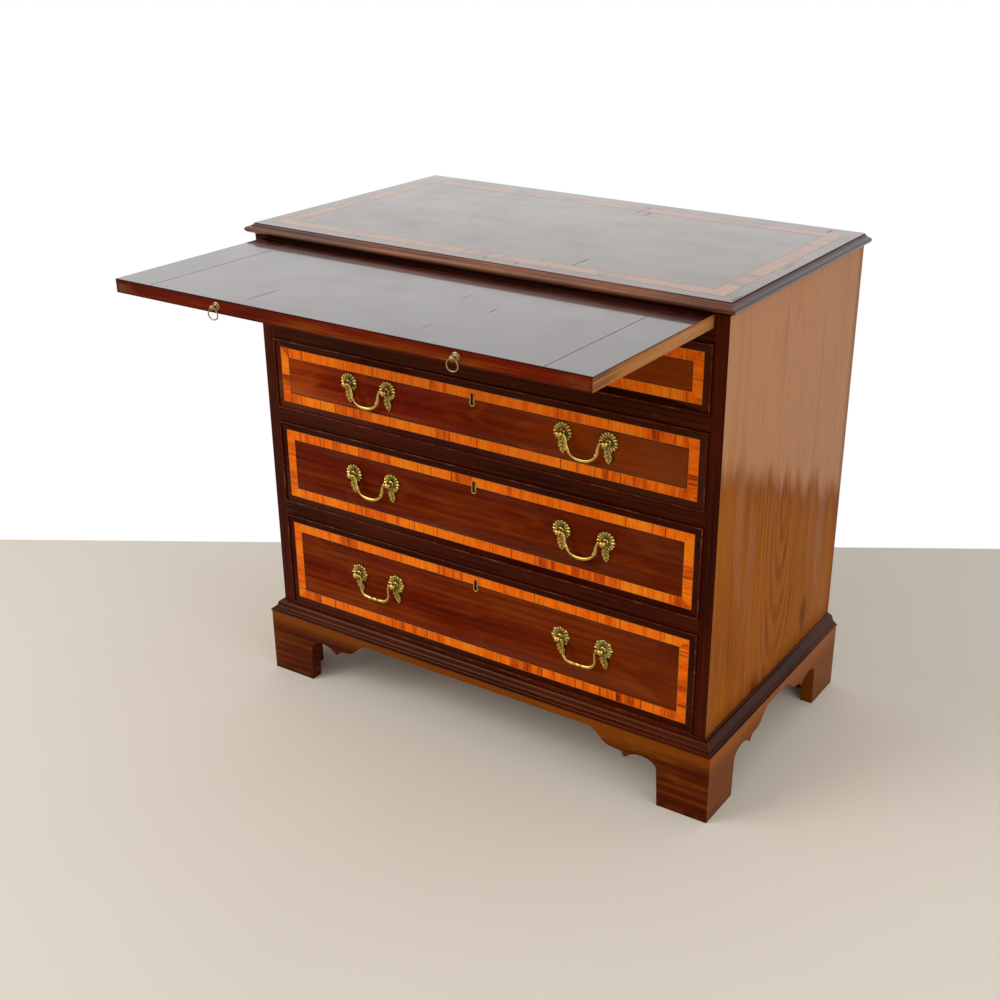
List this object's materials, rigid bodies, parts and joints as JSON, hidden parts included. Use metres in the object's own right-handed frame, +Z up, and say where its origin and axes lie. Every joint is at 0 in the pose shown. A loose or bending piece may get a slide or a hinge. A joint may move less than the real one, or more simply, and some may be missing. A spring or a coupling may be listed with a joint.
{
  "type": "bachelors chest",
  "caption": "Low mahogany chest of drawers on shaped bracket feet with a pull-out brushing slide under its moulded top, swing handles and locking drawers.",
  "frame": {"origin": "on the floor, under the middle of the whole object with its slide drawn out", "axes": "+X to the right as one faces the drawers, -Y to the front where the drawers and the slide come out, +Z up"},
  "size_m": [0.878, 0.8016, 0.8116],
  "materials": {
    "front_mahogany": "French polished mahogany with crossbanding",
    "top_mahogany": "French polished mahogany",
    "dark_mahogany": "dark polished mahogany",
    "side_mahogany": "faded polished mahogany",
    "foot_mahogany": "worn polished mahogany",
    "oak": "dry unfinished oak",
    "pine": "dry unfinished pine",
    "brass": "cast and lacquered brass",
    "steel": "plain steel"
  },
  "bodies": {
    "carcass": {"side_left": "side_mahogany", "side_right": "side_mahogany", "top_board": "top_mahogany", "back_panel": "pine", "bottom_board": "pine", "dust_frame_1": "dark_mahogany", "dust_frame_2": "dark_mahogany", "dust_frame_3": "dark_mahogany", "dust_frame_4": "dark_mahogany", "base_moulding": "dark_mahogany", "plinth_front": "foot_mahogany", "plinth_left": "foot_mahogany", "plinth_right": "foot_mahogany"},
    "slide": {"slide_panel": "top_mahogany", "slide_cleat_left": "top_mahogany", "slide_cleat_right": "top_mahogany", "slide_pull_left": "brass", "slide_pull_right": "brass"},
    "slide_ring_left": {"slide_ring_left": "brass"},
    "slide_ring_right": {"slide_ring_right": "brass"},
    "drawer_1": {"drawer_1_front": "front_mahogany", "drawer_1_linings": "oak", "drawer_1_bottom": "oak", "drawer_1_post_1": "brass", "drawer_1_post_2": "brass", "drawer_1_post_3": "brass", "drawer_1_post_4": "brass"},
    "drawer_1_lock_bolt": {"drawer_1_lock_bolt": "steel"},
    "drawer_1_bail_left": {"drawer_1_bail_left": "brass"},
    "drawer_1_bail_right": {"drawer_1_bail_right": "brass"},
    "drawer_2": {"drawer_2_front": "front_mahogany", "drawer_2_linings": "oak", "drawer_2_bottom": "oak", "drawer_2_post_1": "brass", "drawer_2_post_2": "brass", "drawer_2_post_3": "brass", "drawer_2_post_4": "brass"},
    "drawer_2_lock_bolt": {"drawer_2_lock_bolt": "steel"},
    "drawer_2_bail_left": {"drawer_2_bail_left": "brass"},
    "drawer_2_bail_right": {"drawer_2_bail_right": "brass"},
    "drawer_3": {"drawer_3_front": "front_mahogany", "drawer_3_linings": "oak", "drawer_3_bottom": "oak", "drawer_3_post_1": "brass", "drawer_3_post_2": "brass", "drawer_3_post_3": "brass", "drawer_3_post_4": "brass"},
    "drawer_3_lock_bolt": {"drawer_3_lock_bolt": "steel"},
    "drawer_3_bail_left": {"drawer_3_bail_left": "brass"},
    "drawer_3_bail_right": {"drawer_3_bail_right": "brass"},
    "drawer_4": {"drawer_4_front": "front_mahogany", "drawer_4_linings": "oak", "drawer_4_bottom": "oak", "drawer_4_post_1": "brass", "drawer_4_post_2": "brass", "drawer_4_post_3": "brass", "drawer_4_post_4": "brass"},
    "drawer_4_lock_bolt": {"drawer_4_lock_bolt": "steel"},
    "drawer_4_bail_left": {"drawer_4_bail_left": "brass"},
    "drawer_4_bail_right": {"drawer_4_bail_right": "brass"}
  },
  "joints": [
    {"name": "slide_travel", "type": "slide", "parent": "carcass", "child": "slide", "axis": [0, -1, 0], "range_m": [-0.31, 0]},
    {"name": "slide_ring_left_swing", "type": "hinge", "parent": "slide", "child": "slide_ring_left", "pos_m": [-0.2, -0.3972, 0.7818], "axis": [-1, 0, 0], "range_deg": [0, 95]},
    {"name": "slide_ring_right_swing", "type": "hinge", "parent": "slide", "child": "slide_ring_right", "pos_m": [0.2, -0.3972, 0.7818], "axis": [-1, 0, 0], "range_deg": [0, 95]},
    {"name": "drawer_1_travel", "type": "slide", "parent": "carcass", "child": "drawer_1", "axis": [0, -1, 0], "range_m": [0, 0.36]},
    {"name": "drawer_1_bolt_throw", "type": "slide", "parent": "drawer_1", "child": "drawer_1_lock_bolt", "axis": [0, 0, 1], "range_m": [0, 0.007]},
    {"name": "drawer_1_bail_left_swing", "type": "hinge", "parent": "drawer_1", "child": "drawer_1_bail_left", "pos_m": [-0.2015, -0.0907, 0.713], "axis": [-1, 0, 0], "range_deg": [0, 95]},
    {"name": "drawer_1_bail_right_swing", "type": "hinge", "parent": "drawer_1", "child": "drawer_1_bail_right", "pos_m": [0.2015, -0.0907, 0.713], "axis": [-1, 0, 0], "range_deg": [0, 95]},
    {"name": "drawer_2_travel", "type": "slide", "parent": "carcass", "child": "drawer_2", "axis": [0, -1, 0], "range_m": [0, 0.36]},
    {"name": "drawer_2_bolt_throw", "type": "slide", "parent": "drawer_2", "child": "drawer_2_lock_bolt", "axis": [0, 0, 1], "range_m": [0, 0.007]},
    {"name": "drawer_2_bail_left_swing", "type": "hinge", "parent": "drawer_2", "child": "drawer_2_bail_left", "pos_m": [-0.2015, -0.0907, 0.5779], "axis": [-1, 0, 0], "range_deg": [0, 95]},
    {"name": "drawer_2_bail_right_swing", "type": "hinge", "parent": "drawer_2", "child": "drawer_2_bail_right", "pos_m": [0.2015, -0.0907, 0.5779], "axis": [-1, 0, 0], "range_deg": [0, 95]},
    {"name": "drawer_3_travel", "type": "slide", "parent": "carcass", "child": "drawer_3", "axis": [0, -1, 0], "range_m": [0, 0.36]},
    {"name": "drawer_3_bolt_throw", "type": "slide", "parent": "drawer_3", "child": "drawer_3_lock_bolt", "axis": [0, 0, 1], "range_m": [0, 0.007]},
    {"name": "drawer_3_bail_left_swing", "type": "hinge", "parent": "drawer_3", "child": "drawer_3_bail_left", "pos_m": [-0.2015, -0.0907, 0.42], "axis": [-1, 0, 0], "range_deg": [0, 95]},
    {"name": "drawer_3_bail_right_swing", "type": "hinge", "parent": "drawer_3", "child": "drawer_3_bail_right", "pos_m": [0.2015, -0.0907, 0.42], "axis": [-1, 0, 0], "range_deg": [0, 95]},
    {"name": "drawer_4_travel", "type": "slide", "parent": "carcass", "child": "drawer_4", "axis": [0, -1, 0], "range_m": [0, 0.36]},
    {"name": "drawer_4_bolt_throw", "type": "slide", "parent": "drawer_4", "child": "drawer_4_lock_bolt", "axis": [0, 0, 1], "range_m": [0, 0.007]},
    {"name": "drawer_4_bail_left_swing", "type": "hinge", "parent": "drawer_4", "child": "drawer_4_bail_left", "pos_m": [-0.2015, -0.0907, 0.2365], "axis": [-1, 0, 0], "range_deg": [0, 95]},
    {"name": "drawer_4_bail_right_swing", "type": "hinge", "parent": "drawer_4", "child": "drawer_4_bail_right", "pos_m": [0.2015, -0.0907, 0.2365], "axis": [-1, 0, 0], "range_deg": [0, 95]}
  ]
}
